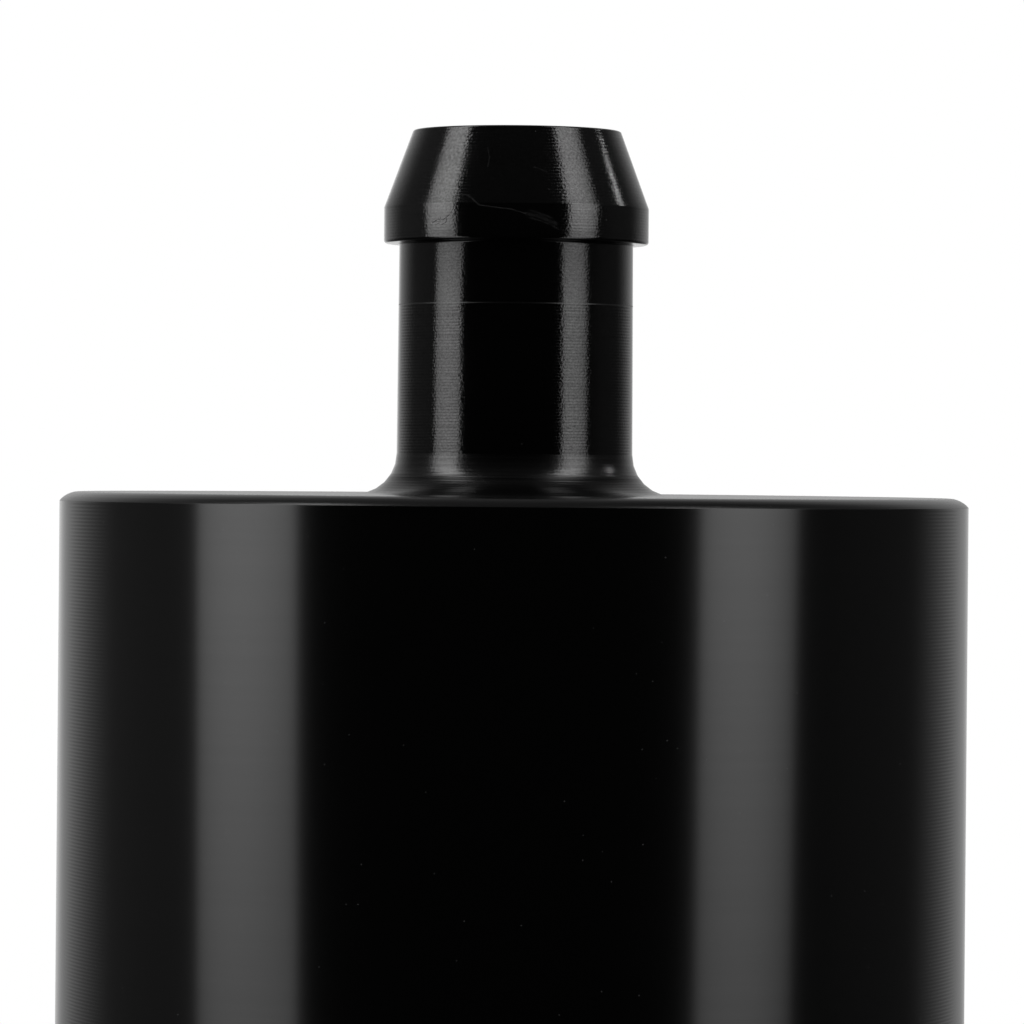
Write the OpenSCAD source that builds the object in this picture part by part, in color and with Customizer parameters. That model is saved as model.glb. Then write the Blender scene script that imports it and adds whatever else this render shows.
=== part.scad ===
// Small remote brake fluid reservoir, turned from bar and anodised black.
// It stands on its screw cap with the hose barb upwards, as it was photographed.
// In the car it hangs the other way up, on a hose or in a band clamp.
// Millimetres. +Z runs along the turning axis, and the cap's outer face is at z = 0.

/* [Body] */
// Outside diameter of the body
body_d = 38; // [34:0.5:60]
// Length of the plain outside, from the cap's shoulder to the end face
body_l = 48; // [36:1:120]
// Wall beside the fluid
wall = 4; // [3.6:0.1:6]
// Thickness of the end wall at the outlet
end_wall = 4; // [3:0.25:8]
// Fall of the conical floor towards the outlet
floor_fall = 3; // [1:0.25:6]
// Corner radius between the wall and the conical floor
floor_r = 1; // [0.4:0.1:2]
// Rounding of the end face's outer edge
face_round = 0.75; // [0.25:0.05:1.5]
// Chamfer at the cap's shoulder
shoulder_chamfer = 0.4; // [0.2:0.1:1]

/* [Hose barb] */
// Diameter over the lip, which the hose is pushed past
lip_d = 11.1; // [10.6:0.1:13]
// Height of the straight land on the lip
land_h = 1.5; // [0.8:0.1:3]
// Diameter at the tip of the cone
tip_d = 8.7; // [8:0.1:10]
// Height of the cone above the land
cone_h = 3.25; // [2:0.25:5]
// Diameter of the neck just under the lip
neck_d = 9.8; // [9:0.1:10.4]
// Diameter of the neck at its root, a little more than under the lip
root_d = 9.9; // [9.2:0.1:11]
// Length of the neck, from the end face to the underside of the lip
neck_l = 10.5; // [8:0.5:20]
// Fillet between the neck and the end face
root_r = 1.7; // [0.6:0.1:3]
// Bore through the barb
outlet_d = 6.3; // [5:0.1:7]
// Rounding of the tip's outer edge
tip_r = 0.1; // [0.05:0.05:0.3]
// Rounding of the lip's lower edge
lip_r = 0.13; // [0.05:0.01:0.3]
// Small fillet in the corner under the lip
under_lip_r = 0.1; // [0.05:0.05:0.3]
// Chamfer at the mouth of the outlet
outlet_chamfer = 0.3; // [0.1:0.1:0.5]

/* [Screw neck] */
// Step from the body's outside in to the crest of the thread
shoulder_w = 1.5; // [1:0.1:2]
// Pitch of the thread between body and cap
thread_pitch = 1.5; // [1:0.25:1.75]
// Length of the neck from its rim to the shoulder
screw_l = 8.5; // [7:0.5:14]
// Chamfer on both edges of the rim and at the cap's mouth
rim_chamfer = 0.3; // [0.1:0.05:0.4]
// Width of the guard rib between the groove and the thread
rib_w = 0.6; // [0.4:0.1:1.2]

/* [Cap] */
// Thickness of the cap's flat top
cap_top = 3; // [2:0.25:6]
// Wall of the cap outside its thread
cap_wall = 3.4; // [2.8:0.1:6]
// Number of finger flutes
flutes = 20; // [12:4:28]
// Radius of the cutter that makes a flute
flute_r = 3; // [2:0.25:5]
// Depth of a flute
flute_depth = 1; // [0.4:0.1:1.4]
// Chamfer on the cap's outer edges
cap_chamfer = 0.8; // [0.3:0.1:1.5]
// Width of the flat ring that the cap stands on, inside the flutes
foot_w = 5; // [3:0.5:8]
// Depth of the recess in the cap's outer face
recess_depth = 0.5; // [0.2:0.1:1]
// Hole that lets air in behind the diaphragm
vent_d = 1.2; // [0.8:0.1:2]

/* [Slip ring] */
// Thickness of the loose ring between the cap and the diaphragm
slip_t = 1.2; // [0.8:0.1:2.5]
// Width of the ring
slip_w = 3.7; // [2.5:0.1:5]
// Chamfer on the ring's edges
slip_chamfer = 0.2; // [0.1:0.05:0.3]
// Room round the outside of the ring in the cap
slip_clear = 0.4; // [0.3:0.05:0.6]

/* [Diaphragm] */
// Thickness of the flange that is clamped on the rim
flange_t = 1.6; // [1.2:0.1:3]
// Wall of the bellows
bellows_wall = 0.9; // [0.6:0.05:1]
// Number of folds
folds = 4; // [2:1:6]
// Height of one fold
fold_pitch = 3.2; // [2.6:0.1:4]
// Depth of a fold, from its outer crest to its inner root
fold_depth = 3.5; // [3.3:0.1:5]
// Room between the bellows and the wall of the reservoir
bellows_clear = 0.7; // [0.4:0.1:1.5]

/* [Sealing ring] */
// Thickness of the ring before it is squeezed
seal_d = 1.6; // [1.4:0.1:1.8]
// How much the cap squeezes it
seal_squeeze = 0.18; // [0.1:0.02:0.3]
// Room beside the ring in its groove, on each side
seal_room = 0.25; // [0.15:0.05:0.5]

/* [Fits] */
// Radial clearance of the slip ring on the cap's spigot
spigot_clear = 0.1; // [0.05:0.01:0.1]
// How far the spigot stays back from the diaphragm's flange
spigot_back = 0.3; // [0.1:0.1:0.5]
// Radial room between the crest of the thread and the cap's bore
thread_clear = 0.1; // [0.05:0.05:0.2]
// Radial clearance between the squeezed sealing ring and the cap
seal_clear = 0.1; // [0.05:0.01:0.1]
// Gap between the cap and the shoulder when the cap is tight
skirt_gap = 0.3; // [0.2:0.1:1]

/* [Hidden] */
$fn = 128;

// How far a cutting shape runs past the face that it opens
over = 1;
// Depth of a sixty degree thread on its screw, as a share of the pitch
thread_depth = 0.6134 * thread_pitch;

body_rad = body_d / 2;
crest_rad = body_rad - shoulder_w;
core_rad = crest_rad - thread_depth;
bore_rad = body_rad - wall;
outlet_rad = outlet_d / 2;

cap_bore_rad = crest_rad + thread_clear;
cap_rad = cap_bore_rad + cap_wall;
seal_h = seal_d - seal_squeeze;
seal_bore_rad = core_rad + seal_h + seal_clear;

// Heights from the cap's outer face to the tip
z_rim = cap_top + slip_t + flange_t;
z_shoulder = z_rim + screw_l;
z_face = z_shoulder + body_l;
z_lip = z_face + neck_l;
z_land = z_lip + land_h;
z_tip = z_land + cone_h;
z_floor = z_face - end_wall;
z_gland = z_shoulder - seal_d - 2 * seal_room;
z_rib = z_gland - rib_w;
z_seal = (z_gland + z_shoulder) / 2;
cap_h = z_shoulder - skirt_gap;

slip_rad = cap_bore_rad - slip_clear;
slip_hole_rad = slip_rad - slip_w;
spigot_rad = slip_hole_rad - spigot_clear;

flange_rad = core_rad - rim_chamfer;
fold_mid_r = fold_pitch / 4;
fold_out_r = fold_mid_r + bellows_wall / 2;
fold_in_r = fold_mid_r - bellows_wall / 2;
crest_at = bore_rad - bellows_clear - fold_out_r;
root_at = bore_rad - bellows_clear - fold_depth + fold_out_r;
z_leg = z_rim - bellows_wall / 2;
z_end = z_leg + folds * fold_pitch;

BLACK_ANODISED = "#1a1b1d";
BLACK_RUBBER = "#222222";
ACETAL = "#e6e3da";

// A direction in the profile's plane, as a point at distance r
function toward(angle, r) = [r * cos(angle), r * sin(angle)];

// What lies between a round of radius r about c and the corner that it replaces.
// The round's ends face the directions a and b, at most 90 degrees apart.
module corner_waste(c, a, b, r) {
    reach = 1.5 * r;
    difference() {
        polygon([
            c,
            c + toward(a, reach),
            c + toward((a + b) / 2, reach / cos((a - b) / 2)),
            c + toward(b, reach)
        ]);
        translate(c) circle(r);
    }
}

// A ring section: r0 to r1 wide, z0 to z1 high
module band(r0, r1, z0, z1) {
    translate([r0, z0]) square([r1 - r0, z1 - z0]);
}

// Outside of the turned body, from the screw neck's rim to the barb's tip
module body_outline() {
    cone = atan((lip_d - tip_d) / 2 / cone_h);
    tip_centre = [tip_d / 2 + tip_r * tan(cone) - tip_r / cos(cone), z_tip - tip_r];
    difference() {
        union() {
            polygon([
                [0, z_rim],
                [core_rad - rim_chamfer, z_rim],
                [core_rad, z_rim + rim_chamfer],
                [core_rad, z_rib],
                [crest_rad, z_rib],
                [crest_rad, z_gland],
                [core_rad, z_gland],
                [core_rad, z_shoulder],
                [body_rad - shoulder_chamfer, z_shoulder],
                [body_rad, z_shoulder + shoulder_chamfer],
                [body_rad, z_face],
                [root_d / 2, z_face],
                [root_d / 2, z_face + root_r],
                [neck_d / 2, z_lip],
                [lip_d / 2, z_lip],
                [lip_d / 2, z_land],
                [tip_d / 2, z_tip],
                [0, z_tip]
            ]);
            corner_waste([root_d / 2 + root_r, z_face + root_r], 180, 270, root_r);
            corner_waste([neck_d / 2 + under_lip_r, z_lip - under_lip_r], 90, 180, under_lip_r);
        }
        corner_waste([body_rad - face_round, z_face - face_round], 0, 90, face_round);
        corner_waste([lip_d / 2 - lip_r, z_lip + lip_r], -90, 0, lip_r);
        corner_waste(tip_centre, cone, 90, tip_r);
    }
}

// The space for the fluid: bore, conical floor and outlet
module body_hollow() {
    slope = atan(floor_fall / (bore_rad - outlet_rad));
    wall_top = z_floor - floor_fall;
    corner = [bore_rad - floor_r, wall_top + floor_r * tan(slope) - floor_r / cos(slope)];
    difference() {
        polygon([
            [0, z_rim - over],
            [bore_rad + rim_chamfer + over, z_rim - over],
            [bore_rad, z_rim + rim_chamfer],
            [bore_rad, wall_top],
            [outlet_rad, z_floor],
            [outlet_rad, z_tip - outlet_chamfer],
            [outlet_rad + outlet_chamfer + over, z_tip + over],
            [0, z_tip + over]
        ]);
        corner_waste(corner, 0, 90 - slope, floor_r);
    }
}

module reservoir_body() {
    color(BLACK_ANODISED) rotate_extrude() difference() {
        body_outline();
        body_hollow();
    }
}

// The cap's section before its flutes are cut
module cap_outline() {
    difference() {
        polygon([
            [0, 0],
            [cap_rad - cap_chamfer, 0],
            [cap_rad, cap_chamfer],
            [cap_rad, cap_h - cap_chamfer],
            [cap_rad - cap_chamfer, cap_h],
            [0, cap_h]
        ]);
        band(0, cap_rad - flute_depth - foot_w, -over, recess_depth);
        band(0, spigot_rad, cap_top + slip_t - spigot_back, cap_h + over);
        band(spigot_rad, cap_bore_rad, cap_top, cap_h + over);
        band(cap_bore_rad, seal_bore_rad, z_rib, cap_h + over);
        polygon([
            [seal_bore_rad, cap_h - rim_chamfer],
            [seal_bore_rad + rim_chamfer + over, cap_h + over],
            [seal_bore_rad - over, cap_h + over]
        ]);
    }
}

module cap() {
    color(BLACK_ANODISED) difference() {
        rotate_extrude() cap_outline();
        for (i = [0 : flutes - 1])
            rotate([0, 0, (i + 0.5) * 360 / flutes])
                translate([cap_rad - flute_depth + flute_r, 0, -over])
                    cylinder(r = flute_r, h = cap_h + 2 * over);
        translate([0, 0, -over]) cylinder(d = vent_d, h = cap_top + slip_t + 2 * over);
    }
}

// The ring turns in the cap, so the diaphragm isn't dragged round when the cap is tightened
module slip_ring() {
    c = slip_chamfer;
    color(ACETAL) rotate_extrude() translate([0, cap_top]) polygon([
        [slip_hole_rad, c],
        [slip_hole_rad + c, 0],
        [slip_rad - c, 0],
        [slip_rad, c],
        [slip_rad, slip_t - c],
        [slip_rad - c, slip_t],
        [slip_hole_rad + c, slip_t],
        [slip_hole_rad, slip_t - c]
    ]);
}

// Half a round of the bellows' wall about c, on the outer side or the inner one
module half_fold(c, outer) {
    intersection() {
        translate(c) difference() {
            circle(fold_out_r);
            circle(fold_in_r);
        }
        translate(c + [outer ? 0 : -2 * fold_out_r, -2 * fold_out_r])
            square([2 * fold_out_r, 4 * fold_out_r]);
    }
}

// A flat leg of the wall between the roots and the crests
module leg(z) {
    band(root_at, crest_at, z - bellows_wall / 2, z + bellows_wall / 2);
}

// Flange, folds and closed end, as one rubber moulding
module diaphragm() {
    color(BLACK_RUBBER) rotate_extrude() {
        band(slip_hole_rad, flange_rad, z_rim - flange_t, z_rim);
        band(root_at, flange_rad, z_leg - bellows_wall / 2, z_rim);
        for (i = [0 : folds - 1]) {
            half_fold([root_at, z_leg + (i + 0.25) * fold_pitch], false);
            leg(z_leg + (i + 0.5) * fold_pitch);
            half_fold([crest_at, z_leg + (i + 0.75) * fold_pitch], true);
            if (i < folds - 1) leg(z_leg + (i + 1) * fold_pitch);
        }
        band(0, crest_at, z_end - bellows_wall / 2, z_end + bellows_wall / 2);
    }
}

// The ring seals the joint below the thread, and is flattened where it touches groove and cap
module cap_seal() {
    color(BLACK_RUBBER) rotate_extrude() intersection() {
        translate([core_rad + seal_h / 2, z_seal]) circle(d = seal_d);
        band(core_rad, core_rad + seal_h, z_seal - seal_d, z_seal + seal_d);
    }
}

reservoir_body();
cap();
slip_ring();
diaphragm();
cap_seal();
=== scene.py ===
# %% [markdown]
# A remote brake fluid reservoir, turned from aluminium bar and anodised black.
# It stands on its fluted screw cap with the hose barb upwards.
# The solids that the checks use come in first, as a fixed frame, and nothing here moves them.
# Each visible piece is then modelled over its own solid, in metres and in the same place.

# %% Load the frame
import math

import bmesh
import bpy
from mathutils import Matrix, Vector


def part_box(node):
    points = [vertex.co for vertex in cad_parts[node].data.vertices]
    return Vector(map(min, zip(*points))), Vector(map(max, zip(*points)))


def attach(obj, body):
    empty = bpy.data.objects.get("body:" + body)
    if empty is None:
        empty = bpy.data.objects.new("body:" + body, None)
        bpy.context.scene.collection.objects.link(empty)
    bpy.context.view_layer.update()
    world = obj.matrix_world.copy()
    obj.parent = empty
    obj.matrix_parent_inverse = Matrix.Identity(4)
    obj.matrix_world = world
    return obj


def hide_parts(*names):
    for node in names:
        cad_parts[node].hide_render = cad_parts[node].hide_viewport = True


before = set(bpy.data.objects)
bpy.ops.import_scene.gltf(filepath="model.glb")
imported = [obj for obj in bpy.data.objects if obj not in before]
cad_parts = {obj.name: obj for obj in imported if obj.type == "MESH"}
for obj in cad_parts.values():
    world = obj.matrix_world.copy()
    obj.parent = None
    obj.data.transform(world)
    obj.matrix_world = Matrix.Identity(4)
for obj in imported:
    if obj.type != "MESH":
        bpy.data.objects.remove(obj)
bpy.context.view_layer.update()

MM = 0.001

# %% [markdown]
# The outer sizes are read from the frame, so the pieces follow the solids when those change.
# The sizes that a box can't tell, such as a wall or a fillet, are repeated here in metres.
# They carry the names of the part's own source, with _rad for half of a _d.

# %% Sizes of the turned body
SCREW_DEPTH = 0.6134

body_low, body_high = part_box("reservoir_body")
body_rad = body_high.x
z_rim = body_low.z
z_tip = body_high.z

wall = 4 * MM
end_wall = 4 * MM
floor_fall = 3 * MM
floor_r = 1 * MM
face_round = 0.75 * MM
shoulder_chamfer = 0.4 * MM
lip_rad = 5.55 * MM
land_h = 1.5 * MM
tip_rad = 4.35 * MM
cone_h = 3.25 * MM
neck_rad = 4.9 * MM
root_rad = 4.95 * MM
neck_l = 10.5 * MM
root_r = 1.7 * MM
tip_r = 0.1 * MM
lip_r = 0.13 * MM
under_lip_r = 0.1 * MM
outlet_rad = 3.15 * MM
outlet_chamfer = 0.3 * MM
rim_chamfer = 0.3 * MM
shoulder_w = 1.5 * MM
thread_pitch = 1.5 * MM
screw_l = 8.5 * MM
rib_w = 0.6 * MM
seal_room = 0.25 * MM

seal_low, seal_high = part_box("cap_seal")
thread_depth = SCREW_DEPTH * thread_pitch
crest_rad = body_rad - shoulder_w
core_rad = crest_rad - thread_depth
bore_rad = body_rad - wall
z_land = z_tip - cone_h
z_lip = z_land - land_h
z_face = z_lip - neck_l
z_floor = z_face - end_wall
z_shoulder = z_rim + screw_l
z_gland = seal_low.z - seal_room
z_rib = z_gland - rib_w
print("end face at", round(z_face / MM, 2), "mm, tip at", round(z_tip / MM, 2), "mm")

# %% [markdown]
# The photograph shows nothing of the cap, the slip ring and the bellows, so their sizes are those
# that such reservoirs have. What seats on something else takes its size from that piece.

# %% Sizes of the cap and of what it holds
cap_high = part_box("cap")[1]
slip_low, slip_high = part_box("slip_ring")
flange_low, flange_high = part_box("diaphragm")

cap_rad = cap_high.x
cap_h = cap_high.z
slip_rad = slip_high.x
flange_rad = flange_high.x
flutes = 20
flute_r = 3 * MM
flute_depth = 1 * MM
cap_chamfer = 0.8 * MM
foot_w = 5 * MM
recess_depth = 0.5 * MM
vent_rad = 0.6 * MM
spigot_clear = 0.1 * MM
spigot_back = 0.3 * MM
thread_clear = 0.1 * MM
seal_clear = 0.1 * MM
slip_w = 3.7 * MM
slip_chamfer = 0.2 * MM
bellows_wall = 0.9 * MM
bellows_clear = 0.7 * MM
folds = 4
fold_pitch = 3.2 * MM
fold_depth = 3.5 * MM

cap_bore_rad = crest_rad + thread_clear
seal_bore_rad = seal_high.x + seal_clear
slip_hole_rad = slip_rad - slip_w
spigot_rad = slip_hole_rad - spigot_clear
z_spigot = slip_high.z - spigot_back
print("cap:", round(2 * cap_rad / MM, 2), "mm across,", round(cap_h / MM, 2), "mm high")

# %% [markdown]
# A lathe makes a solid from an outline, and Blender can do the same with Spin.
# The outline could be typed in as a list of points, with every round worked out by hand.
# Here it is drawn as one would draw it in edit mode: one vertex is extruded from corner to
# corner, the corners are rounded with a vertex bevel, and the wire is spun about the Z axis.
# A corner is (radius, height, round), and a round of 0 leaves it sharp.

# %% Draw an outline
SPIN_STEPS = 256
HIDDEN_STEPS = 128
ROUND_STEPS = 6
MERGE = 0.5e-6


def pick_vertices(test):
    """Selects the vertices whose position passes the test, and no others."""
    bpy.ops.mesh.select_mode(type="VERT")
    bpy.ops.mesh.select_all(action="DESELECT")
    mesh = bmesh.from_edit_mesh(bpy.context.object.data)
    for vertex in mesh.verts:
        vertex.select_set(test(vertex.co))
    mesh.select_flush_mode()
    bmesh.update_edit_mesh(bpy.context.object.data)


def draw_outline(name, corners):
    """One vertex, extruded from corner to corner in the XZ plane and closed at the end."""
    bpy.ops.object.select_all(action="DESELECT")
    bpy.ops.mesh.primitive_plane_add(size=MM, location=(0, 0, 0))
    piece = bpy.context.object
    piece.name = name
    bpy.ops.object.mode_set(mode="EDIT")
    bpy.ops.mesh.merge(type="CENTER")
    bpy.ops.transform.translate(value=(corners[0][0], 0, corners[0][1]))
    for here, there in zip(corners, corners[1:]):
        step = (there[0] - here[0], 0, there[1] - here[1])
        bpy.ops.mesh.extrude_region_move(TRANSFORM_OT_translate={"value": step})
    ends = [Vector((c[0], 0, c[1])) for c in (corners[0], corners[-1])]
    pick_vertices(lambda co: any((co - end).length < MERGE for end in ends))
    bpy.ops.mesh.edge_face_add()
    return piece


print("a piece that shows is spun in", SPIN_STEPS, "steps, a hidden one in", HIDDEN_STEPS)

# %% [markdown]
# A round of radius r touches each side at r times the tangent of half the turn.
# That distance is what the vertex bevel asks for, so it is worked out from the neighbours.

# %% Round the corners
def round_corners(corners):
    """A vertex bevel at each corner that has a round."""
    for i, (r, z, fillet) in enumerate(corners):
        if not fillet:
            continue
        here = Vector((r, 0, z))
        before = corners[i - 1]
        after = corners[(i + 1) % len(corners)]
        turn = (here - Vector((before[0], 0, before[1]))).angle(
            Vector((after[0], 0, after[1])) - here)
        pick_vertices(lambda co: (co - here).length < MERGE)
        bpy.ops.mesh.bevel(affect="VERTICES", offset=fillet * math.tan(turn / 2),
                           segments=ROUND_STEPS, profile=0.5, clamp_overlap=False)


print("the end face's edge round touches", round(face_round / MM, 2), "mm in from the side")

# %% [markdown]
# Smooth shading averages the normals at a vertex. Beside a small round that would bend the
# light on the long wall too, so a Weighted Normal modifier lets the larger face win.

# %% Spin the outline
SMOOTH_BELOW = math.radians(32)


def even_shading(piece):
    """Smooth up to the edges, with the normals of the large faces kept beside a round."""
    bpy.ops.object.shade_smooth_by_angle(angle=SMOOTH_BELOW)
    weighted = piece.modifiers.new("even_shading", "WEIGHTED_NORMAL")
    weighted.weight = 100
    weighted.keep_sharp = True
    bpy.ops.object.modifier_apply(modifier=weighted.name)


def turn_piece(name, corners, steps=SPIN_STEPS):
    """A turned piece: outline, rounds, spin, seam merged, faces pointing outwards."""
    piece = draw_outline(name, corners)
    round_corners(corners)
    bpy.ops.mesh.select_all(action="SELECT")
    bpy.ops.mesh.spin(steps=steps, angle=2 * math.pi, center=(0, 0, 0), axis=(0, 0, 1))
    bpy.ops.mesh.select_all(action="SELECT")
    bpy.ops.mesh.remove_doubles(threshold=MERGE)
    bpy.ops.mesh.normals_make_consistent(inside=False)
    bpy.ops.object.mode_set(mode="OBJECT")
    even_shading(piece)
    print(name, len(piece.data.vertices), "vertices,", len(piece.data.polygons), "faces")
    return piece


def fit(piece, rides_on, node):
    """Makes a piece ride on its body, in place of its solid."""
    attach(piece, rides_on)
    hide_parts(node)


chord_gap = body_rad * (1 - math.cos(math.pi / SPIN_STEPS))
print("the spun body is round to", round(chord_gap / MM * 1000, 1), "microns")

# %% [markdown]
# The body is one piece of metal: the cup, its end wall and the hose barb.
# The outline runs up the outside from the rim that the cap screws over, round the barb,
# and back down through the outlet, the conical floor and the bore.
# An edge that a tool leaves is never quite sharp, so each gets a round of a few hundredths.
# The neck was cut in two passes that meet in a faint line, so the outline has a point there.
# The end face runs out in a round that still leans 37 degrees where it meets the side. The
# photograph shows the line between the two, so that corner is left all but sharp.

# %% Reservoir body
edge = 0.05 * MM
z_pass = z_face + 7.9 * MM
pass_line = 0.05 * MM
neck_taper = (neck_rad - root_rad) / (z_lip - z_face)
crown_round = 0.93 * MM
crown_drop = 0.38 * MM
crown_slope = math.radians(53)
crown_step = crown_drop / math.tan(crown_slope)
crown_edge = 0.02 * MM
body = turn_piece("body", [
    (core_rad - rim_chamfer, z_rim, edge),
    (core_rad, z_rim + rim_chamfer, edge),
    (core_rad, z_rib, edge),
    (crest_rad, z_rib, edge),
    (crest_rad, z_gland, edge),
    (core_rad, z_gland, edge),
    (core_rad, z_shoulder, edge),
    (body_rad - shoulder_chamfer, z_shoulder, edge),
    (body_rad, z_shoulder + shoulder_chamfer, edge),
    (body_rad, z_face - crown_drop, crown_edge),
    (body_rad - crown_step, z_face, crown_round),
    (root_rad, z_face, root_r),
    (root_rad + neck_taper * (z_pass - z_face), z_pass, 0),
    (root_rad + neck_taper * (z_pass + pass_line - z_face), z_pass + pass_line, 0),
    (neck_rad, z_lip, under_lip_r),
    (lip_rad, z_lip, lip_r),
    (lip_rad, z_land, edge),
    (tip_rad, z_tip, tip_r),
    (outlet_rad + outlet_chamfer, z_tip, edge),
    (outlet_rad, z_tip - outlet_chamfer, edge),
    (outlet_rad, z_floor, edge),
    (bore_rad, z_floor - floor_fall, floor_r),
    (bore_rad, z_rim + rim_chamfer, edge),
    (bore_rad + rim_chamfer, z_rim, edge),
])
fit(body, "reservoir", "reservoir_body")

# %% [markdown]
# The cap is turned first, with its thread bore, the bore for the sealing ring, the spigot
# that centres the slip ring and the shallow recess that leaves a flat ring to stand on.
# The vent in the middle is part of the same outline, because it lies on the axis.

# %% Cap, turned
foot_rad = cap_rad - flute_depth - foot_w
cap = turn_piece("fluted_cap", [
    (vent_rad, recess_depth, edge),
    (foot_rad, recess_depth, edge),
    (foot_rad, 0, edge),
    (cap_rad - cap_chamfer, 0, edge),
    (cap_rad, cap_chamfer, edge),
    (cap_rad, cap_h - cap_chamfer, edge),
    (cap_rad - cap_chamfer, cap_h, edge),
    (seal_bore_rad + rim_chamfer, cap_h, edge),
    (seal_bore_rad, cap_h - rim_chamfer, edge),
    (seal_bore_rad, z_rib, edge),
    (cap_bore_rad, z_rib, edge),
    (cap_bore_rad, slip_low.z, edge),
    (spigot_rad, slip_low.z, edge),
    (spigot_rad, z_spigot, edge),
    (vent_rad, z_spigot, edge),
])

# %% [markdown]
# The finger flutes are milled straight along the cap with a round cutter.
# One cylinder is the cutter. Spin copies it round the axis, and a Boolean takes the copies away.
# A narrow Bevel then breaks the edges that the cutter left, as tumbling does before anodising.

# %% Cap, fluted
CUTTER_SIDES = 96
broken_edge = 0.08 * MM

bpy.ops.object.select_all(action="DESELECT")
bpy.ops.mesh.primitive_cylinder_add(vertices=CUTTER_SIDES, radius=flute_r, depth=2 * cap_h)
cutters = bpy.context.object
bpy.ops.object.mode_set(mode="EDIT")
half_flute = math.pi / flutes
cutter_at = cap_rad - flute_depth + flute_r
bpy.ops.transform.translate(value=(
    cutter_at * math.cos(half_flute),
    cutter_at * math.sin(half_flute),
    cap_h / 2,
))
bpy.ops.mesh.spin(steps=flutes - 1, angle=2 * math.pi - 2 * half_flute, dupli=True,
                  center=(0, 0, 0), axis=(0, 0, 1))
bpy.ops.mesh.select_all(action="SELECT")
bpy.ops.mesh.normals_make_consistent(inside=False)
bpy.ops.object.mode_set(mode="OBJECT")

bpy.ops.object.select_all(action="DESELECT")
cap.select_set(True)
bpy.context.view_layer.objects.active = cap
milling = cap.modifiers.new("milling", "BOOLEAN")
milling.operation = "DIFFERENCE"
milling.solver = "EXACT"
milling.object = cutters
bpy.ops.object.modifier_apply(modifier=milling.name)
bpy.data.objects.remove(cutters)
tumbling = cap.modifiers.new("tumbling", "BEVEL")
tumbling.width = broken_edge
tumbling.segments = 2
tumbling.limit_method = "ANGLE"
tumbling.angle_limit = math.radians(25)
bpy.ops.object.modifier_apply(modifier=tumbling.name)
even_shading(cap)
fit(cap, "cap", "cap")
print("cap after milling:", len(cap.data.polygons), "faces")

# %% [markdown]
# A thread is a ridge that climbs one pitch a turn. The Screw modifier sweeps its section so,
# and a bisect at each end cuts it off flat, as the rim and the relief groove do on a lathe.
# Bisect takes points within 0.1 mm of its plane as lying on it, unless threshold is set smaller.

# %% Thread ridge
THREAD_STEPS = 128
THREAD_TURNS = 7
flank = math.tan(math.radians(30))


def thread(name, root, crest, half_crest, start, low, high):
    """A right-handed ridge with sixty degree flanks from radius root to radius crest."""
    half_root = half_crest + abs(crest - root) * flank
    corners = [
        (root, start - half_root, 0),
        (crest, start - half_crest, edge),
        (crest, start + half_crest, edge),
        (root, start + half_root, 0),
    ]
    ridge = draw_outline(name, corners)
    round_corners(corners)
    bpy.ops.object.mode_set(mode="OBJECT")
    helix = ridge.modifiers.new("helix", "SCREW")
    helix.screw_offset = thread_pitch
    helix.iterations = THREAD_TURNS
    helix.steps = THREAD_STEPS
    helix.render_steps = THREAD_STEPS
    bpy.ops.object.modifier_apply(modifier=helix.name)
    bpy.ops.object.mode_set(mode="EDIT")
    for height, above in ((low, False), (high, True)):
        bpy.ops.mesh.select_all(action="SELECT")
        bpy.ops.mesh.bisect(plane_co=(0, 0, height), plane_no=(0, 0, 1), use_fill=True,
                            clear_inner=not above, clear_outer=above, threshold=0.1 * MERGE)
    bpy.ops.mesh.select_all(action="SELECT")
    bpy.ops.mesh.remove_doubles(threshold=MERGE)
    bpy.ops.mesh.normals_make_consistent(inside=False)
    bpy.ops.object.mode_set(mode="OBJECT")
    even_shading(ridge)
    heights = [vertex.co.z for vertex in ridge.data.vertices]
    print(name, "from", round(min(heights) / MM, 2), "to", round(max(heights) / MM, 2), "mm")
    return ridge


lean = thread_depth * flank
print("a flank", round(thread_depth / MM, 2), "mm deep leans", round(lean / MM, 2), "mm")

# %% [markdown]
# The body's ridge and the cap's are half a pitch apart, so each runs in the other's groove.
# Both start two turns below the rim, where the bisect cuts them off, and reach a little into
# the metal. The screw's crest is an eighth of the pitch wide, and the cap's nearly a quarter.

# %% Threads
NUT_DEPTH = 0.54
sunk = 0.02 * MM
thread_start = z_rim - 2 * thread_pitch
body_half_crest = thread_pitch / 16
body_thread = thread("body_thread", core_rad - sunk, crest_rad, body_half_crest, thread_start,
                     z_rim + rim_chamfer, z_rib - rim_chamfer)
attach(body_thread, "reservoir")
nut_crest = crest_rad - NUT_DEPTH * thread_pitch
cap_half_crest = thread_pitch / 8 - edge
cap_thread = thread("cap_thread", cap_bore_rad + sunk, nut_crest, cap_half_crest,
                    thread_start + thread_pitch / 2, z_rim - rim_chamfer, z_rib)
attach(cap_thread, "cap")

# %% [markdown]
# The slip ring is a plain washer of white acetal, turned with a small chamfer all round.

# %% Slip ring
c = slip_chamfer
slip_ring = turn_piece("acetal_ring", [
    (slip_hole_rad, slip_low.z + c, 0),
    (slip_hole_rad + c, slip_low.z, 0),
    (slip_rad - c, slip_low.z, 0),
    (slip_rad, slip_low.z + c, 0),
    (slip_rad, slip_high.z - c, 0),
    (slip_rad - c, slip_high.z, 0),
    (slip_hole_rad + c, slip_high.z, 0),
    (slip_hole_rad, slip_high.z - c, 0),
], steps=HIDDEN_STEPS)
fit(slip_ring, "slip_ring", "slip_ring")

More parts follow.
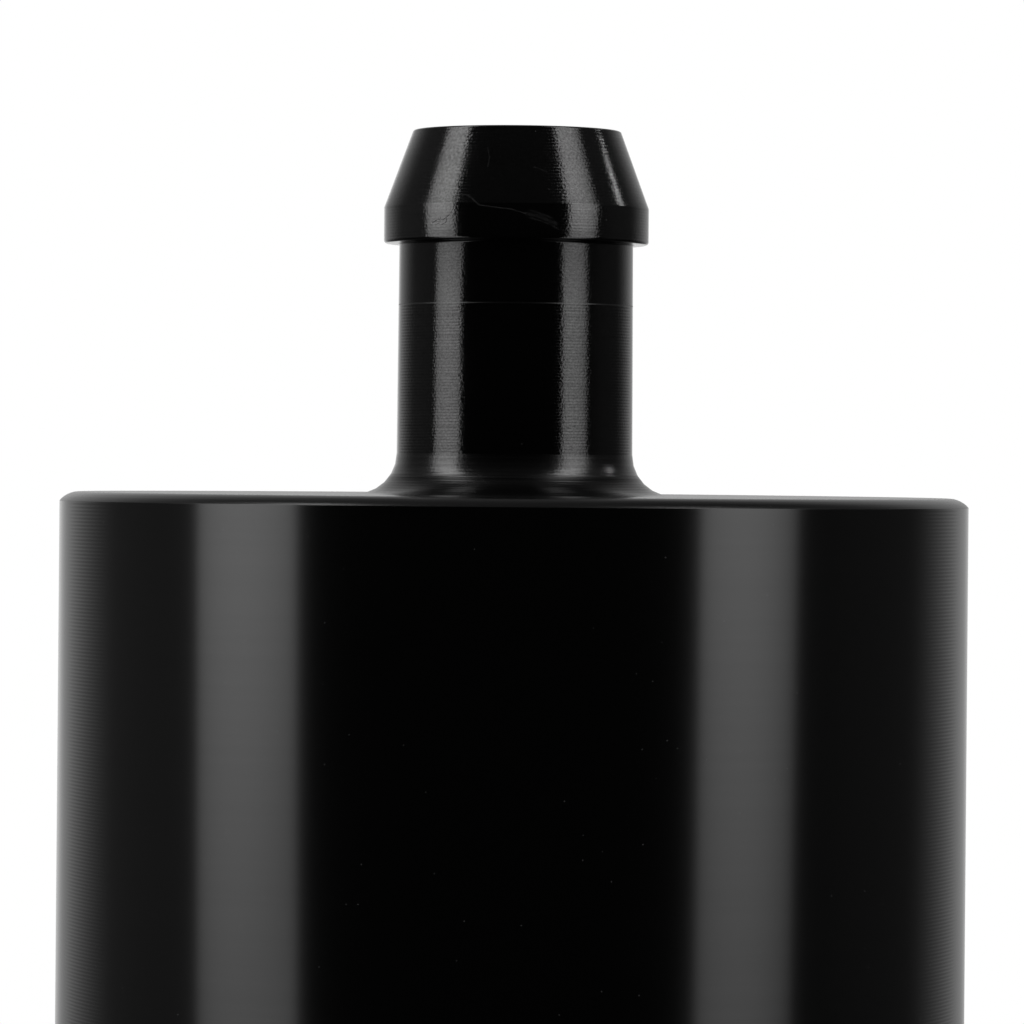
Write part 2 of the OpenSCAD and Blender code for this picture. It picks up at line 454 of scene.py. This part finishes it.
# %% [markdown]
# The diaphragm is one rubber moulding: a flange that the rim clamps, four bellows folds
# that follow the fluid as it falls, and a closed end.
# Each fold is two half rounds, and a half round is two corners with a full round each.
# So the two faces of the wall are two lists of corners, one for the fluid and one for the air.

# %% Diaphragm
z_leg = z_rim - bellows_wall / 2
fold_in = fold_pitch / 4 - bellows_wall / 2
fold_out = fold_pitch / 4 + bellows_wall / 2
crest_at = bore_rad - bellows_clear - fold_out
root_at = bore_rad - bellows_clear - fold_depth + fold_out
z_end = z_leg + folds * fold_pitch
flange_edge = 0.1 * MM

fluid_face = []
air_face = []
for i in range(folds):
    z_root = z_leg + (i + 0.25) * fold_pitch
    z_crest = z_leg + (i + 0.75) * fold_pitch
    fluid_face += [
        (root_at - fold_in, z_root - fold_in, fold_in),
        (root_at - fold_in, z_root + fold_in, fold_in),
        (crest_at + fold_out, z_crest - fold_out, fold_out),
        (crest_at + fold_out, z_crest + fold_out, fold_out),
    ]
    air_face += [
        (root_at - fold_out, z_root - fold_out, fold_out),
        (root_at - fold_out, z_root + fold_out, fold_out),
        (crest_at + fold_in, z_crest - fold_in, fold_in),
        (crest_at + fold_in, z_crest + fold_in, fold_in),
    ]
diaphragm = turn_piece("bellows", [
    (slip_hole_rad, flange_low.z, flange_edge),
    (flange_rad, flange_low.z, flange_edge),
    (flange_rad, z_rim, flange_edge),
    *fluid_face,
    (0, z_end + bellows_wall / 2, 0),
    (0, z_end - bellows_wall / 2, 0),
    *reversed(air_face),
    (slip_hole_rad, z_leg - bellows_wall / 2, 0),
], steps=HIDDEN_STEPS)
fit(diaphragm, "reservoir", "diaphragm")

# %% [markdown]
# The sealing ring lies in its groove below the thread and is squeezed a little flat.
# Its section is the box of the squeezed ring with large rounds, which leaves small flats.

# %% Sealing ring
half_flat = 0.02 * MM
seal_round = (seal_high.x - core_rad) / 2 - half_flat
sealing_ring = turn_piece("sealing_ring", [
    (core_rad, seal_low.z, seal_round),
    (seal_high.x, seal_low.z, seal_round),
    (seal_high.x, seal_high.z, seal_round),
    (core_rad, seal_high.z, seal_round),
])
fit(sealing_ring, "reservoir", "cap_seal")

# %% [markdown]
# Lamps, floor and camera come before the finishes, because a finish is judged in its light.
# The camera stands 236 mm in front of the axis, a little above the end face, and looks level.
# A level camera keeps upright edges upright, so the frame is moved with a small lens shift.
# The photograph leans by half a degree, so the camera rolls by as much.

# %% Camera
IMAGE_WIDTH = 1024
SENSOR = 36
camera_gap = 235.8 * MM
camera_side = -0.1 * MM
camera_above_face = 1.2 * MM
camera_roll = math.radians(-0.495)

camera_data = bpy.data.cameras.new("camera")
camera_data.lens = 197.7
camera_data.sensor_width = SENSOR
camera_data.shift_y = -0.0447
camera_data.clip_start = 0.01
camera_data.clip_end = 20
camera = bpy.data.objects.new("camera", camera_data)
camera.location = (camera_side, -camera_gap, z_face + camera_above_face)
camera.rotation_euler = (math.radians(90), camera_roll, 0)
bpy.context.scene.collection.objects.link(camera)
bpy.context.scene.camera = camera
pixel = camera_gap / camera_data.lens * SENSOR / IMAGE_WIDTH
print("one pixel is", round(pixel / MM, 4), "mm at the axis")

# %% [markdown]
# A Math or Map Range node takes numbers and other nodes' outputs alike.
# A few small helpers wire them, so that a pattern reads like the formula that it is.

# %% Node helpers
def new_material(name):
    """A material with its node tree and its Principled shader."""
    material = bpy.data.materials.new(name)
    material.use_nodes = True
    return material, material.node_tree, material.node_tree.nodes["Principled BSDF"]


def link(tree, source, target):
    """Joins an output to an input, or sets the input if the source is a plain value."""
    if isinstance(source, bpy.types.NodeSocket):
        tree.links.new(source, target)
    else:
        target.default_value = source


def calc(tree, operation, *values, clamp=False):
    """A Math node on numbers or outputs."""
    step = tree.nodes.new("ShaderNodeMath")
    step.operation = operation
    step.use_clamp = clamp
    for value, socket in zip(values, step.inputs):
        link(tree, value, socket)
    return step.outputs[0]


def total(tree, first, *others):
    """The sum of any number of numbers or outputs."""
    for other in others:
        first = calc(tree, "ADD", first, other)
    return first


def square(tree, value):
    """An output times itself."""
    return calc(tree, "MULTIPLY", value, value)


def remap(tree, value, low, high, to_low=0.0, to_high=1.0, kind="SMOOTHSTEP"):
    """A Map Range node, soft at both ends unless it is told to be linear."""
    step = tree.nodes.new("ShaderNodeMapRange")
    step.interpolation_type = kind
    ends = {"From Min": low, "From Max": high, "To Min": to_low, "To Max": to_high}
    for name, number in ends.items():
        step.inputs[name].default_value = number
    link(tree, value, step.inputs["Value"])
    return step.outputs[0]


def vector(tree, operation, first, second=None):
    """A Vector Math node. The second value of SCALE is a number, and LENGTH has none."""
    step = tree.nodes.new("ShaderNodeVectorMath")
    step.operation = operation
    link(tree, first, step.inputs[0])
    if second is not None:
        link(tree, second, step.inputs["Scale"] if operation == "SCALE" else step.inputs[1])
    return step.outputs["Value" if operation in ("LENGTH", "DOT_PRODUCT") else "Vector"]


def split(tree, output):
    """The three parts of a vector."""
    parts = tree.nodes.new("ShaderNodeSeparateXYZ")
    tree.links.new(output, parts.inputs[0])
    return parts.outputs


def coordinates(tree, name):
    """One output of a Texture Coordinate node."""
    return tree.nodes.new("ShaderNodeTexCoord").outputs[name]


print("a pattern is built from", ", ".join(f.__name__ for f in (calc, total, remap, vector, split)))

# %% [markdown]
# A black gloss surface shows little but its lamps, so their shape matters more than their power.
# Two tall softboxes stand left and right, each brightest near one edge and dimmer at its foot,
# and a short narrow strip behind on the right draws the third line on the cone.
# An area lamp shines evenly, so each softbox is a glowing panel with its own falloff instead.
# Angles are seen from the object: azimuth from the camera's side to the right, then elevation.

# %% Softbox
LAMP_GAP = 0.9
LAMP_HEIGHT = 0.065
FOOT_FROM = -8
FOOT_TO = 4
FOOT_GLOW = 0.4
CLIMB_TO = 40
CLIMB_GLOW = 1.3


def direction(azimuth, elevation):
    """Unit vector for an azimuth and an elevation in degrees."""
    a = math.radians(azimuth)
    e = math.radians(elevation)
    return Vector((math.sin(a) * math.cos(e), -math.cos(a) * math.cos(e), math.sin(e)))


def softbox(name, azimuth, elevation, roll, half_width, ends, glow, peak, fall):
    """A panel that faces the object. ends are the elevations of its foot and its top.
    peak is where it is brightest, from -1 to 1 across, and fall how much it loses beside that."""
    outward = direction(azimuth, elevation)
    half = LAMP_GAP * math.tan(math.radians(half_width))

    def height_at(angle):
        return LAMP_GAP * math.tan(math.radians(angle - elevation))

    bottom = height_at(ends[0])
    top = height_at(ends[1])
    bpy.ops.object.select_all(action="DESELECT")
    bpy.ops.mesh.primitive_plane_add(size=1)
    panel = bpy.context.object
    panel.name = name
    bpy.ops.object.mode_set(mode="EDIT")
    bpy.ops.transform.resize(value=(2 * half, top - bottom, 1))
    bpy.ops.transform.translate(value=(0, (top + bottom) / 2, 0))
    bpy.ops.object.mode_set(mode="OBJECT")
    facing = (-outward).to_track_quat("Z", "Y").to_matrix().to_4x4()
    panel.matrix_world = (Matrix.Translation(outward * LAMP_GAP + Vector((0, 0, LAMP_HEIGHT)))
                          @ facing @ Matrix.Rotation(math.radians(roll), 4, "Z"))
    panel.visible_camera = False

    material, tree, shader = new_material(name)
    tree.nodes.remove(shader)
    across, up, _ = split(tree, coordinates(tree, "Object"))
    off_peak = calc(tree, "ADD", calc(tree, "DIVIDE", across, half), peak)
    dome = calc(tree, "SUBTRACT", 1.0, calc(tree, "MULTIPLY", square(tree, off_peak), fall))
    foot = remap(tree, up, height_at(FOOT_FROM), height_at(FOOT_TO), FOOT_GLOW, 1.0, "LINEAR")
    climb = remap(tree, up, height_at(FOOT_TO), height_at(CLIMB_TO), 1.0, CLIMB_GLOW, "LINEAR")
    level = calc(tree, "MULTIPLY", calc(tree, "MULTIPLY", foot, climb), glow)
    light = tree.nodes.new("ShaderNodeEmission")
    tree.links.new(calc(tree, "MULTIPLY", dome, level), light.inputs["Strength"])
    tree.links.new(light.outputs[0], tree.nodes["Material Output"].inputs["Surface"])
    panel.data.materials.append(material)
    print(name, "is", round(2 * half, 2), "m wide and", round(top - bottom, 2), "m high")


print("a softbox is", LAMP_GAP, "m away and glows", FOOT_GLOW, "times as much at its foot")

# %% [markdown]
# The places and widths were worked out from the photograph: a reflection on a cylinder tells
# where its lamp stands, because the normal there lies halfway between camera and lamp.

# %% Lamps
softbox("left_softbox", azimuth=-70.5, elevation=4.5, roll=-12.2, half_width=14.6,
        ends=(-50, 68), glow=2.25, peak=0.35, fall=0.28)
softbox("right_softbox", azimuth=61.8, elevation=11.5, roll=8.3, half_width=13.8,
        ends=(-50, 68), glow=2.02, peak=-0.4, fall=0.34)
softbox("strip", azimuth=111, elevation=26, roll=0, half_width=1.3,
        ends=(21, 30), glow=5.2, peak=0, fall=0)

# %% [markdown]
# The room is dark on the camera's side and pale behind the object. The camera sees plain
# white, and a reflection of the backdrop comes close to it.
# The gradient between dark and pale gives the object's sides their edges. Diffuse light gets an
# even share from all round, so that rubber and acetal don't go black.

# %% World
SHEET_AZIMUTH = -177
DARKEST = 0.004
AMBIENT = 0.5

world = bpy.data.worlds.new("studio")
bpy.context.scene.world = world
world.use_nodes = True
world.cycles.sampling_method = "NONE"
sky = world.node_tree
sky.nodes.clear()

ray_direction = coordinates(sky, "Generated")
east, north, up = split(sky, ray_direction)
from_back = calc(sky, "ARCCOSINE", north)
to_sheet = vector(sky, "DOT_PRODUCT", ray_direction, direction(SHEET_AZIMUTH, 0))
from_sheet = calc(sky, "ARCCOSINE", to_sheet)
wide_glow = remap(sky, from_back, low=math.radians(64), high=math.radians(22), to_high=0.41)
sheet_glow = remap(sky, from_sheet, low=math.radians(24), high=math.radians(6), to_high=0.4)
side_wall = remap(sky, east, low=-0.5, high=0.5, to_low=0.08, to_high=0.042)
beside = calc(sky, "MULTIPLY", remap(sky, north, low=-0.5, high=0.1), side_wall)
ceiling = remap(sky, up, low=0.0, high=0.9, to_high=0.03)
below = remap(sky, up, low=-0.35, high=-0.02, to_low=0.15)
glow = total(sky, wide_glow, sheet_glow, beside, ceiling, DARKEST)
room = calc(sky, "MULTIPLY", glow, below)
ray = sky.nodes.new("ShaderNodeLightPath")
ambient = calc(sky, "MULTIPLY", ray.outputs["Is Diffuse Ray"], AMBIENT)
strength = calc(sky, "MAXIMUM", calc(sky, "ADD", room, ambient), ray.outputs["Is Camera Ray"])
background = sky.nodes.new("ShaderNodeBackground")
background.inputs["Color"].default_value = (1, 1, 1, 1)
sky.links.new(strength, background.inputs["Strength"])
sky_out = sky.nodes.new("ShaderNodeOutputWorld")
sky.links.new(background.outputs[0], sky_out.inputs[0])
print("world:", len(sky.nodes), "nodes")

# %% [markdown]
# The floor is a wide sheet of white paper. It takes the object's shadow close by, and further
# out it fades to the backdrop's white for the camera, so that no horizon shows.

# %% Floor
FLOOR_RAD = 6
FLOOR_DROP = 0.01 * MM
PAPER = (0.82, 0.82, 0.82, 1)
FADE_FROM = 0.12
FADE_TO = 0.35

bpy.ops.object.select_all(action="DESELECT")
bpy.ops.mesh.primitive_circle_add(vertices=96, radius=FLOOR_RAD, fill_type="NGON")
floor = bpy.context.object
floor.name = "floor"
floor.location.z = -FLOOR_DROP
floor.visible_glossy = False
floor.visible_shadow = False

paper, tree, shader = new_material("white_paper")
shader.inputs["Base Color"].default_value = PAPER
shader.inputs["Roughness"].default_value = 0.9
shader.inputs["Specular IOR Level"].default_value = 0.0
far = remap(tree, vector(tree, "LENGTH", coordinates(tree, "Object")), FADE_FROM, FADE_TO)
path = tree.nodes.new("ShaderNodeLightPath")
seen_far = calc(tree, "MULTIPLY", far, path.outputs["Is Camera Ray"])
white = tree.nodes.new("ShaderNodeEmission")
mix = tree.nodes.new("ShaderNodeMixShader")
tree.links.new(seen_far, mix.inputs[0])
tree.links.new(shader.outputs[0], mix.inputs[1])
tree.links.new(white.outputs[0], mix.inputs[2])
tree.links.new(mix.outputs[0], tree.nodes["Material Output"].inputs["Surface"])
floor.data.materials.append(paper)
print("the floor turns white between", FADE_FROM, "and", FADE_TO, "m from the object")

# %% [markdown]
# The lathe's marks are too fine to model, a few microns deep, so they come from a bump.
# A mark's section is a shallow round hollow between two ridges: 4 u squared, u from -0.5 to 0.5.
# No two turns are alike, so a random number for each turn varies the depth, and noise that is
# long round the axis and short along it adds the tearing that the tool leaves.

# %% Turning marks
MICRON = 1e-6
HOLLOW_MEAN = -0.67
LEAST_DEPTH = 0.6
DEPTH_SPREAD = 0.8


def noise(tree, position, size, detail=2.0):
    """Noise from -1 to 1 whose features are about one size across, in metres."""
    texture = tree.nodes.new("ShaderNodeTexNoise")
    texture.inputs["Scale"].default_value = 1 / size
    texture.inputs["Detail"].default_value = detail
    tree.links.new(position, texture.inputs["Vector"])
    return calc(tree, "MULTIPLY_ADD", texture.outputs[0], 2.0, -1.0)


def stretched(tree, position, round_about, along):
    """The position in units of a feature that is long round the axis and short along it."""
    mapping = tree.nodes.new("ShaderNodeMapping")
    mapping.inputs["Scale"].default_value = (1 / round_about, 1 / round_about, 1 / along)
    tree.links.new(position, mapping.inputs["Vector"])
    return mapping.outputs[0]


def bumped(tree, height):
    """The normal that a height in microns gives."""
    step = tree.nodes.new("ShaderNodeBump")
    step.inputs["Distance"].default_value = MICRON
    tree.links.new(height, step.inputs["Height"])
    return step.outputs[0]


def turning_marks(tree, feed, pitch):
    """The hollow that each turn leaves, from -1 to 0, the same with a chance depth, and the
    number from 0 to 1 that was drawn for the turn."""
    turns = calc(tree, "DIVIDE", feed, pitch)
    u = calc(tree, "SUBTRACT", calc(tree, "FRACT", turns), 0.5)
    hollow = calc(tree, "MULTIPLY_ADD", square(tree, u), 4.0, -1.0)
    chance = tree.nodes.new("ShaderNodeTexWhiteNoise")
    chance.noise_dimensions = "1D"
    tree.links.new(calc(tree, "FLOOR", turns), chance.inputs["W"])
    depth = calc(tree, "MULTIPLY_ADD", chance.outputs["Value"], DEPTH_SPREAD, LEAST_DEPTH)
    return hollow, calc(tree, "MULTIPLY", hollow, depth), chance.outputs["Value"]


print("a turn is from", LEAST_DEPTH, "to", LEAST_DEPTH + DEPTH_SPREAD, "times as deep as the mean")

# %% [markdown]
# A scratch roughens the black oxide. In the dark it shows as a pale hair line, and in a lamp's
# reflection as a dark one, so it makes the colour paler and the gloss weaker.
# It runs over the surface from point to point, and a shader can measure how far it is from such
# a line. Between two points the line cuts straight through the barb, so the points of a fine
# scratch stay within 5 degrees. The noise makes it uneven, as a real scratch is.

# %% Scratches
SCRATCH_PORE = 0.12 * MM


def on_barb(angle, height):
    """The point of the barb at an angle in degrees, and a height in mm above the end face."""
    z = z_face + height * MM
    radius = lip_rad - max(0, z - z_land) * (lip_rad - tip_rad) / cone_h
    a = math.radians(angle)
    return Vector((radius * math.sin(a), -radius * math.cos(a), z))


def hair_line(tree, position, start, end, width):
    """1 on the line from start to end, and 0 beyond its width."""
    along = end - start
    offset = vector(tree, "SUBTRACT", position, start)
    share = vector(tree, "DOT_PRODUCT", offset, along / along.length_squared)
    nearest = vector(tree, "SCALE", along, calc(tree, "ADD", share, 0.0, clamp=True))
    distance = vector(tree, "LENGTH", vector(tree, "SUBTRACT", offset, nearest))
    return remap(tree, distance, low=width, high=0.3 * width)


def scratches(tree, position, marks):
    """The strongest of several marks, each a (strength, width, points), broken up by noise."""
    strongest = 0.0
    for strength, width, points in marks:
        ends = [on_barb(angle, height) for angle, height in points]
        for start, end in zip(ends, ends[1:]):
            line = calc(tree, "MULTIPLY", hair_line(tree, position, start, end, width), strength)
            strongest = calc(tree, "MAXIMUM", strongest, line)
    gaps = remap(tree, noise(tree, position, SCRATCH_PORE), low=-0.5, high=0.3, to_low=0.2)
    return calc(tree, "MULTIPLY", strongest, gaps)


cut = lip_rad * (1 - math.cos(math.radians(2.5)))
print("a line over 5 degrees runs", round(cut / MM * 1000, 1), "microns below the lip")

# %% [markdown]
# One long scratch crosses the lip and ends in a scuff, and finer ones lie in the left reflection
# and on the cone. A mark is its strength, its width and (angle, height) points: degrees round
# the axis from the camera's side, and millimetres above the end face. Specks of dust are strewn
# over everything.

# %% Wear
SPECK_GAP = 0.7 * MM
SPECK = 0.03 * MM


def dust(tree, position, gap, size):
    """Specks of one size, strewn about a gap apart."""
    cells = tree.nodes.new("ShaderNodeTexVoronoi")
    cells.inputs["Scale"].default_value = 1 / gap
    tree.links.new(position, cells.inputs["Vector"])
    return remap(tree, cells.outputs["Distance"], low=size / gap, high=0.4 * size / gap)


barb_marks = [
    (0.3, 0.06 * MM, [(-27, 12.4), (-21.5, 12.3), (-16, 11.9)]),
    (0.4, 0.03 * MM, [(-16, 11.9), (-11.5, 11.84), (-7, 11.78), (-2.4, 11.73), (4, 11.55)]),
    (0.2, 0.12 * MM, [(4, 11.55), (10, 11.45), (17, 11.15)]),
    (0.2, 0.06 * MM, [(6, 11.7), (15, 11.4)]),
    (0.2, 0.05 * MM, [(5, 11.4), (11, 11.25), (18, 10.95)]),
    (0.9, 0.03 * MM, [(-38.5, 11.2), (-35.5, 11.33), (-33, 11.3), (-30, 11.5)]),
    (0.7, 0.03 * MM, [(-37, 11.12), (-35, 11.17), (-34.3, 11.4)]),
    (0.8, 0.03 * MM, [(-33.5, 11.12), (-31.5, 11.2), (-31, 11.45)]),
    (0.5, 0.03 * MM, [(-30, 11.5), (-27, 11.9), (-26, 12.3)]),
    (0.25, 0.03 * MM, [(8, 13.5), (14, 13.3)]),
    (0.25, 0.03 * MM, [(-15, 14.3), (-13.5, 13.9), (-14, 13.5)]),
]
print("the barb has", len(barb_marks), "marks")

# %% [markdown]
# The relief has three parts: the turning marks, the pores of the oxide, and the tearing that
# runs round the axis. The pores are much finer on the real thing, but a pattern finer than two
# pixels would only be smoothed away, so they are drawn at the size that still shows.

# %% Relief
PORE = 0.1 * MM
TEAR_LENGTH = 1.2 * MM
TEAR_WIDTH = 0.06 * MM


def relief(tree, position, ridges, marks, grain, drag):
    """The normal of turning marks, pores and tearing, whose heights are in microns."""
    pores = noise(tree, position, PORE)
    torn = noise(tree, stretched(tree, position, TEAR_LENGTH, TEAR_WIDTH), 1.0)
    height = total(
        tree,
        calc(tree, "MULTIPLY", ridges, marks),
        calc(tree, "MULTIPLY", pores, grain),
        calc(tree, "MULTIPLY", torn, drag),
    )
    return bumped(tree, height)


print("pores are", round(PORE / pixel, 1), "pixels across")

# %% [markdown]
# The pores make the gloss uneven from grain to grain, and the specular level follows that.
# The ridges carry more of the clear layer, which shows as fine lines where a side is seen at a
# glancing angle. Layer Weight tells how glancing it is: 0 straight on and 1 at the outline.
# At the outline itself everything mirrors the backdrop, so the lines end before it.

# %% Gloss
PATCH = 0.08 * MM
LINES_FULL = 0.72
LINES_FADE = 0.73
LINES_END = 0.82


def edge_gloss(tree, hollow, strength, lines_from):
    """How much the ridges gain and the hollows lose where the surface is seen glancing."""
    facing = tree.nodes.new("ShaderNodeLayerWeight").outputs["Facing"]
    glancing = calc(tree, "MULTIPLY", remap(tree, facing, lines_from, LINES_FULL),
                    remap(tree, facing, LINES_END, LINES_FADE))
    above_mean = calc(tree, "MULTIPLY", calc(tree, "SUBTRACT", hollow, HOLLOW_MEAN), strength)
    return calc(tree, "MULTIPLY", glancing, above_mean)


def uneven_gloss(tree, position, chance, gloss, uneven, turn_gloss):
    """The specular level, varied from grain to grain and from turn to turn."""
    patches = noise(tree, position, PATCH, 3.0)
    by_turn = calc(tree, "MULTIPLY", calc(tree, "SUBTRACT", chance, 0.5), turn_gloss)
    return total(tree, gloss, calc(tree, "MULTIPLY", patches, uneven), by_turn)


fade_angle = math.degrees(math.acos(1 - LINES_END))
print("the lines end where the view meets the surface at", round(90 - fade_angle), "degrees")

# %% [markdown]
# Clear anodising over dyed oxide acts like black glass over metal: almost no colour of its own,
# and a reflection that grows towards the edges. So the finish is a dark dielectric.
# The ridges between two turns are rougher than the hollows, which frays a reflection's edge.
# One function makes each stretch of it, because the stretches differ only in numbers.

# %% Anodised finish
BLACK = 0.0006
BARE = 0.04
DUST = 0.05
CLEAR_IOR = 1.6


def anodised(name, pitch, marks, grain, drag, uneven, turn_gloss, gloss=0.5, roughness=0.14,
             matt_ridges=0.0, edge_lines=0.0, lines_from=0.48, feed="axis", wear=()):
    """Black anodised metal. marks, grain and drag are heights in microns, uneven is how much the
    gloss varies from grain to grain and turn_gloss from turn to turn. matt_ridges is how much
    rougher a ridge is than a hollow, and edge_lines how much more it shines at a glancing angle,
    from lines_from on. feed is axis or face."""
    material, tree, shader = new_material(name)
    shader.inputs["Roughness"].default_value = roughness
    shader.inputs["IOR"].default_value = CLEAR_IOR

    position = coordinates(tree, "Object")
    x, y, z = split(tree, position)
    radius = calc(tree, "SQRT", calc(tree, "ADD", square(tree, x), square(tree, y)))
    hollow, ridges, chance = turning_marks(tree, radius if feed == "face" else z, pitch)
    normal = relief(tree, position, ridges, marks, grain, drag)
    tree.links.new(normal, shader.inputs["Normal"])
    if matt_ridges:
        rough = calc(tree, "MULTIPLY_ADD", ridges, matt_ridges, roughness)
        tree.links.new(rough, shader.inputs["Roughness"])

    level = uneven_gloss(tree, position, chance, gloss, uneven, turn_gloss)
    if edge_lines:
        level = calc(tree, "ADD", level, edge_gloss(tree, hollow, edge_lines, lines_from))
    specks = calc(tree, "MULTIPLY", dust(tree, position, SPECK_GAP, SPECK), DUST)
    colour = calc(tree, "ADD", specks, BLACK)
    if wear:
        worn = scratches(tree, position, wear)
        level = calc(tree, "MULTIPLY", level, calc(tree, "SUBTRACT", 1.0, worn))
        colour = calc(tree, "MULTIPLY_ADD", worn, BARE, colour)
    shader.inputs["Specular IOR Level"].default_value = gloss
    tree.links.new(level, shader.inputs["Specular IOR Level"])
    tree.links.new(colour, shader.inputs["Base Color"])
    return material


mirrored = ((CLEAR_IOR - 1) / (CLEAR_IOR + 1)) ** 2
print("seen straight on, the finish mirrors", round(100 * mirrored, 1), "percent of the light")

# %% [markdown]
# The tool fed along the axis on the sides and across it on the end face, at a pitch for each.
# It chattered at the foot of the fillet, which is dull for that reason, and the last pass under
# the lip has hardly any lines. The lip is a little brighter, because hoses have rubbed over it.
# So the body takes one finish for each stretch, in this list from the side up to the cone.

# %% Finish of the body
body_finish = {
    "side": anodised("anodised_side", 0.147 * MM, marks=0.04, grain=0.05, drag=0.04, uneven=0.02,
                     turn_gloss=0.02, gloss=0.57, edge_lines=0.9),
    "round": anodised("anodised_round", 0.1 * MM, marks=1, grain=1, drag=0.3, uneven=0.1,
                      turn_gloss=0.1, gloss=0.57, roughness=0.26),
    "face": anodised("anodised_face", 0.15 * MM, marks=2, grain=0.3, drag=0, uneven=0.05,
                     turn_gloss=0.05, gloss=0.4, roughness=0.26, feed="face"),
    "root": anodised("anodised_root", 0.11 * MM, marks=5, grain=1, drag=2, uneven=0.15,
                     turn_gloss=0.5, gloss=0.45, roughness=0.26),
    "fillet": anodised("anodised_fillet", 0.13 * MM, marks=2.6, grain=1.8, drag=1.1, uneven=0.3,
                       turn_gloss=0.25, gloss=0.62, roughness=0.19),
    "neck": anodised("anodised_neck", 0.124 * MM, marks=1.6, grain=2.3, drag=0.9, uneven=0.35,
                     turn_gloss=0.06, gloss=0.5, roughness=0.125, matt_ridges=0.05,
                     edge_lines=1.0, lines_from=0.25),
    "pass_line": anodised("anodised_pass_line", pass_line, marks=1, grain=1, drag=0, uneven=0.3,
                          turn_gloss=0, gloss=0.9, roughness=0.3),
    "last_pass": anodised("anodised_last_pass", 0.12 * MM, marks=0.4, grain=2.1, drag=0.4,
                          uneven=0.3, turn_gloss=0.02, gloss=0.53, roughness=0.1),
    "lip": anodised("anodised_lip", 0.12 * MM, marks=1, grain=2.3, drag=0.8, uneven=0.35,
                    turn_gloss=0.1, gloss=0.74, roughness=0.12, matt_ridges=0.04,
                    edge_lines=0.6, lines_from=0.2, wear=barb_marks),
    "cone": anodised("anodised_cone", 0.13 * MM, marks=1.4, grain=2.4, drag=0.9, uneven=0.42,
                     turn_gloss=0.06, roughness=0.16, matt_ridges=0.08, wear=barb_marks),
    "inside": anodised("anodised_inside", 0.2 * MM, marks=1.5, grain=0.5, drag=0.5, uneven=0.1,
                       turn_gloss=0.05, roughness=0.22),
}
print(len(body_finish), "finishes for the body")

# %% [markdown]
# A face takes the finish of the place where its middle lies, so the line between two finishes
# runs along edges of the mesh. Where it shows, the outline was given a point for it.

# %% Places on the body
near = 0.1 * MM
skin = 0.5 * MM
root_h = 0.7 * MM
land_edge = 0.02 * MM


def body_zone(r, z):
    """Which stretch of the body a point lies on."""
    if r < outlet_rad + near or (z < z_face - crown_drop and r < body_rad - skin):
        return "inside"
    if z < z_face - crown_drop - edge:
        return "side"
    if r > body_rad - face_round:
        return "round"
    if r > root_rad + root_r:
        return "face"
    if z < z_face + root_h:
        return "root"
    if z < z_face + root_r:
        return "fillet"
    if z < z_pass:
        return "neck"
    if z < z_lip:
        return "pass_line" if z < z_pass + pass_line else "last_pass"
    return "lip" if z < z_land + land_edge else "cone"


def paint(piece, finishes, zone):
    """Gives each face of a piece the finish of its zone."""
    names = list(finishes)
    for name in names:
        piece.data.materials.append(finishes[name])
    counts = dict.fromkeys(names, 0)
    for face in piece.data.polygons:
        name = zone(math.hypot(face.center.x, face.center.y), face.center.z)
        face.material_index = names.index(name)
        counts[name] += 1
    print(piece.name, counts)


paint(body, body_finish, body_zone)
body_thread.data.materials.append(body_finish["inside"])
cap_thread.data.materials.append(body_finish["inside"])

# %% [markdown]
# The cap was turned and faced like the body. Only its flutes are milled, so their marks are
# the plain grain of the oxide.

# %% Finish of the cap
side_band = 0.15 * MM

cap_finish = {
    "side": body_finish["side"],
    "face": body_finish["face"],
    "inside": body_finish["inside"],
    "flute": anodised("anodised_flute", 0.15 * MM, marks=0, grain=0.3, drag=0.3, uneven=0.04,
                      turn_gloss=0, roughness=0.16),
}


def cap_zone(r, z):
    """Which stretch of the cap a point lies on."""
    if z > recess_depth + near and r < seal_bore_rad + near:
        return "inside"
    if z < near or r < foot_rad or z > cap_h - near:
        return "face"
    return "side" if r > cap_rad - side_band else "flute"


paint(cap, cap_finish, cap_zone)

# %% [markdown]
# Rubber is a dull dark grey with a soft highlight, and acetal a warm white.
# Neither shows much in the closed reservoir, so a fine grain is all they need.

# %% Rubber and acetal
def moulded(name, colour, roughness, grain_size, grain):
    """A plain plastic or rubber with a fine grain. grain is in microns."""
    material, tree, shader = new_material(name)
    shader.inputs["Base Color"].default_value = (*colour, 1)
    shader.inputs["Roughness"].default_value = roughness
    texture = noise(tree, coordinates(tree, "Object"), grain_size)
    normal = bumped(tree, calc(tree, "MULTIPLY", texture, grain))
    tree.links.new(normal, shader.inputs["Normal"])
    return material


rubber = moulded("black_rubber", colour=(0.018, 0.018, 0.019), roughness=0.55,
                 grain_size=0.3 * MM, grain=6)
acetal = moulded("white_acetal", colour=(0.78, 0.76, 0.70), roughness=0.38,
                 grain_size=0.2 * MM, grain=1)
diaphragm.data.materials.append(rubber)
sealing_ring.data.materials.append(rubber)
slip_ring.data.materials.append(acetal)
print("hidden pieces:", diaphragm.name, sealing_ring.name, slip_ring.name)

# %% [markdown]
# The view is Standard, so a colour renders as it is written.

# %% Finish
bpy.context.scene.view_settings.view_transform = "Standard"
